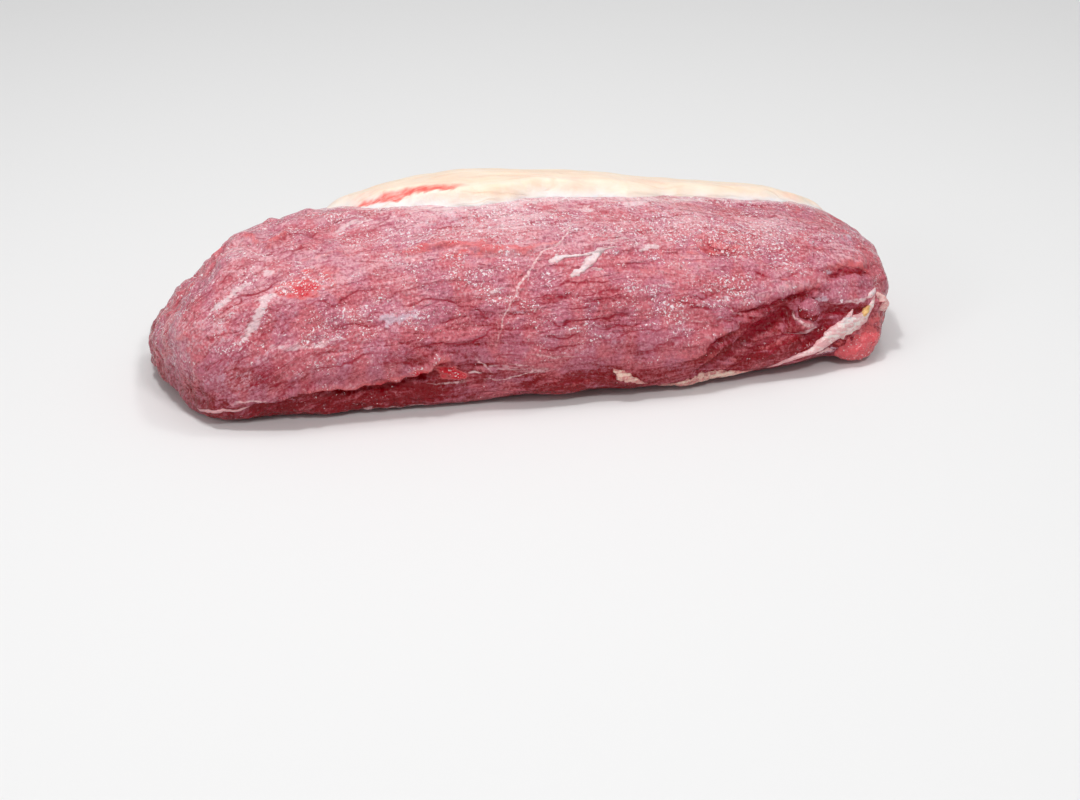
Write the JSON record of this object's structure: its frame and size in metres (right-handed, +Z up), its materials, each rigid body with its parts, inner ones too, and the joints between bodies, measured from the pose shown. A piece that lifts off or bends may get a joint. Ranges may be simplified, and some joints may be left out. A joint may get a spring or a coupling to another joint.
{
  "type": "raw eye of round",
  "caption": "Whole raw beef eye of round lying on its flat side, with fibrous lean, trimmed folds at both ends and a fat cap along the top and back.",
  "frame": {"origin": "under the middle of the whole piece, on the surface that it lies on", "axes": "+X along the grain towards the blunt end, +Y from the trimmed front to the fat-covered back, +Z up"},
  "size_m": [0.373, 0.136, 0.0914],
  "materials": {
    "lean": "wet raw lean, fine fibres along the muscle, pale where it dries and dark in the folds",
    "fat": "cream external fat, whiter and firmer on its cut edge, with a slight greasy sheen"
  },
  "bodies": {
    "root": {"eye_muscle": "lean", "fat_cap": "fat"}
  },
  "joints": []
}
